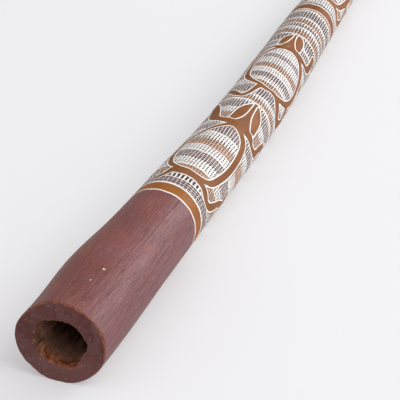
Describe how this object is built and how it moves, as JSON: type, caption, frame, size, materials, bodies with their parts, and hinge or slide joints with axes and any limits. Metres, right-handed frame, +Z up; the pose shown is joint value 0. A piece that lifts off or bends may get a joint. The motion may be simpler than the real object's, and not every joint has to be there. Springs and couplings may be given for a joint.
{
  "type": "didgeridoo",
  "caption": "Long drone pipe hollowed from one crooked tree branch, widening from a beeswax mouth ring to an open sawn bell, with a painted banded pattern.",
  "frame": {"origin": "middle of the footprint on the surface the instrument lies on", "axes": "+Y along the branch from the bell to the mouth ring; +X towards the outside of the branch's sideways bow; +Z up"},
  "size_m": [0.1034, 1.312, 0.0885],
  "materials": {
    "painted_wood": "satin paint over bare hardwood; maroon bell end, ochre and white line work over most of the length",
    "beeswax": "dark hand-moulded beeswax, soft satin"
  },
  "bodies": {
    "root": {"trunk": "painted_wood", "mouthpiece": "beeswax"}
  },
  "joints": []
}
